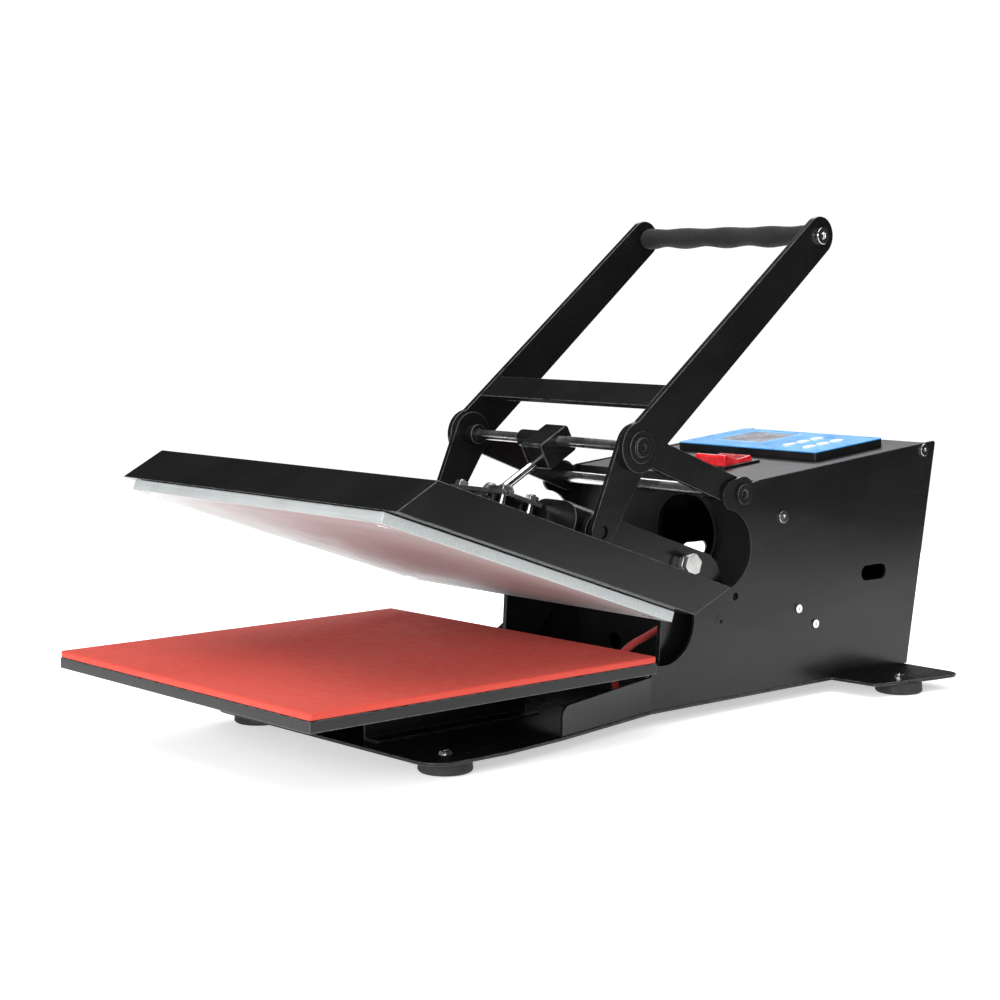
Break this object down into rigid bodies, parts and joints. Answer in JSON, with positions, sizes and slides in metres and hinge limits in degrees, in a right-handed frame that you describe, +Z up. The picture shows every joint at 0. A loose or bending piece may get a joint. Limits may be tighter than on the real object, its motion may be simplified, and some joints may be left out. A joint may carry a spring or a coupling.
{
  "type": "clamshell heat press",
  "caption": "Tabletop clamshell heat press: hinged heat platen over a silicone pad, toggle handle with foam grip, pressure rod, steel housing with controller and rocker switch.",
  "frame": {"origin": "on the table, under the middle of the press's bounding box", "axes": "+Z up, +Y from the pad to the rear of the housing (longest extent), +X to the right side seen from the front (shortest extent)"},
  "size_m": [0.406, 0.865, 0.479],
  "materials": {
    "black_steel": "satin powder coat",
    "black_anodised": "satin",
    "silicone_red": "matte silicone",
    "plate_aluminium": "brushed",
    "steel": "bright",
    "chrome": "polished",
    "rubber_black": "matte",
    "foam_black": "foam",
    "plastic_black": "fine texture",
    "faceplate_blue": "gloss film",
    "lcd_grey": "gloss",
    "key_white": "satin",
    "rocker_red": "translucent gloss",
    "board_green": "solder mask",
    "relay_white": "satin",
    "cable_red": "silicone sleeve",
    "insulation": "mineral fibre board",
    "element_steel": "oxidised"
  },
  "bodies": {
    "base": {"base_plate": "black_steel", "side_plate_right": "black_steel", "side_plate_left": "black_steel", "rear_panel": "black_steel", "deck": "black_steel", "front_bulkhead": "black_steel", "lower_tray": "black_steel", "silicone_pad": "silicone_red", "tray_support": "black_steel", "rubber_feet": "rubber_black", "foot_screws": "chrome", "panel_screws": "chrome", "pivot_bolts": "black_anodised", "pivot_shaft": "steel", "hinge_shaft": "steel", "hinge_lugs": "black_steel", "controller_housing": "plastic_black", "controller_faceplate": "faceplate_blue", "lcd_window": "lcd_grey", "switch_bezel": "plastic_black", "circuit_board": "board_green", "power_relay": "relay_white", "power_inlet": "plastic_black", "hole_plugs": "plastic_black", "heater_cable": "cable_red"},
    "rocker": {"rocker": "rocker_red"},
    "key_1": {"key_1": "key_white"},
    "key_2": {"key_2": "key_white"},
    "key_3": {"key_3": "key_white"},
    "key_4": {"key_4": "key_white"},
    "key_5": {"key_5": "key_white"},
    "key_6": {"key_6": "key_white"},
    "handle": {"handle_arm_right": "black_steel", "handle_arm_left": "black_steel", "crossbar": "black_steel", "grip_tube": "black_anodised", "foam_grip": "foam_black", "grip_bolts": "chrome", "knuckle_bolts": "black_anodised", "cross_shaft": "steel", "shaft_collars": "black_anodised"},
    "links": {"link_right": "black_steel", "link_left": "black_steel", "link_pins": "black_anodised"},
    "hub": {"hub_block": "black_steel"},
    "rod": {"pressure_rod": "chrome"},
    "platen": {"heat_plate": "plate_aluminium", "heating_element": "element_steel", "insulation_board": "insulation", "platen_cover": "black_steel", "bracket_right": "black_steel", "bracket_left": "black_steel", "bracket_bolts": "chrome", "heat_plate_screws": "chrome", "pressure_bridge": "black_steel", "pressure_plate": "chrome", "plate_nuts": "chrome", "terminal_cover": "black_anodised", "thermostat": "steel", "cable_gland": "plastic_black"}
  },
  "joints": [
    {"name": "handle_swing", "type": "hinge", "parent": "base", "child": "handle", "pos_m": [0, 0.1325, 0.211], "axis": [1, 0, 0], "range_deg": [0, 30.79]},
    {"name": "platen_hinge", "type": "hinge", "parent": "base", "child": "platen", "pos_m": [0, 0.0475, 0.037], "axis": [1, 0, 0], "range_deg": [0, 19], "deforming": ["heater_cable"]},
    {"name": "link_swing", "type": "hinge", "parent": "handle", "child": "links", "pos_m": [0, -0.004, 0.263], "axis": [1, 0, 0], "range_deg": [-66.4, 0]},
    {"name": "hub_tilt", "type": "hinge", "parent": "handle", "child": "hub", "pos_m": [0, -0.004, 0.263], "axis": [1, 0, 0], "range_deg": [-55.1, 0]},
    {"name": "rod_slide", "type": "slide", "parent": "hub", "child": "rod", "axis": [0, -0.8829, -0.4695], "range_m": [0, 0.0316]},
    {"name": "rocker_tilt", "type": "hinge", "parent": "base", "child": "rocker", "pos_m": [0.02, 0.22105, 0.23004], "axis": [1, 0, 0], "range_deg": [0, 16]},
    {"name": "key_press_1", "type": "slide", "parent": "base", "child": "key_1", "axis": [0, -0.0889, 0.996], "range_m": [-0.0008, 0], "stiffness_N_per_m": 600, "springref_m": 0.001},
    {"name": "key_press_2", "type": "slide", "parent": "base", "child": "key_2", "axis": [0, -0.0889, 0.996], "range_m": [-0.0008, 0], "stiffness_N_per_m": 600, "springref_m": 0.001},
    {"name": "key_press_3", "type": "slide", "parent": "base", "child": "key_3", "axis": [0, -0.0889, 0.996], "range_m": [-0.0008, 0], "stiffness_N_per_m": 600, "springref_m": 0.001},
    {"name": "key_press_4", "type": "slide", "parent": "base", "child": "key_4", "axis": [0, -0.0889, 0.996], "range_m": [-0.0008, 0], "stiffness_N_per_m": 600, "springref_m": 0.001},
    {"name": "key_press_5", "type": "slide", "parent": "base", "child": "key_5", "axis": [0, -0.0889, 0.996], "range_m": [-0.0008, 0], "stiffness_N_per_m": 600, "springref_m": 0.001},
    {"name": "key_press_6", "type": "slide", "parent": "base", "child": "key_6", "axis": [0, -0.0889, 0.996], "range_m": [-0.0008, 0], "stiffness_N_per_m": 600, "springref_m": 0.001}
  ],
  "couplings": [
    {"joint": "platen_hinge", "follows": "handle_swing", "ratio": 0.61705},
    {"joint": "link_swing", "follows": "handle_swing", "ratio": -2.1547},
    {"joint": "hub_tilt", "follows": "handle_swing", "ratio": -1.7883},
    {"joint": "rod_slide", "follows": "handle_swing", "m_per_rad": 0.0587}
  ]
}
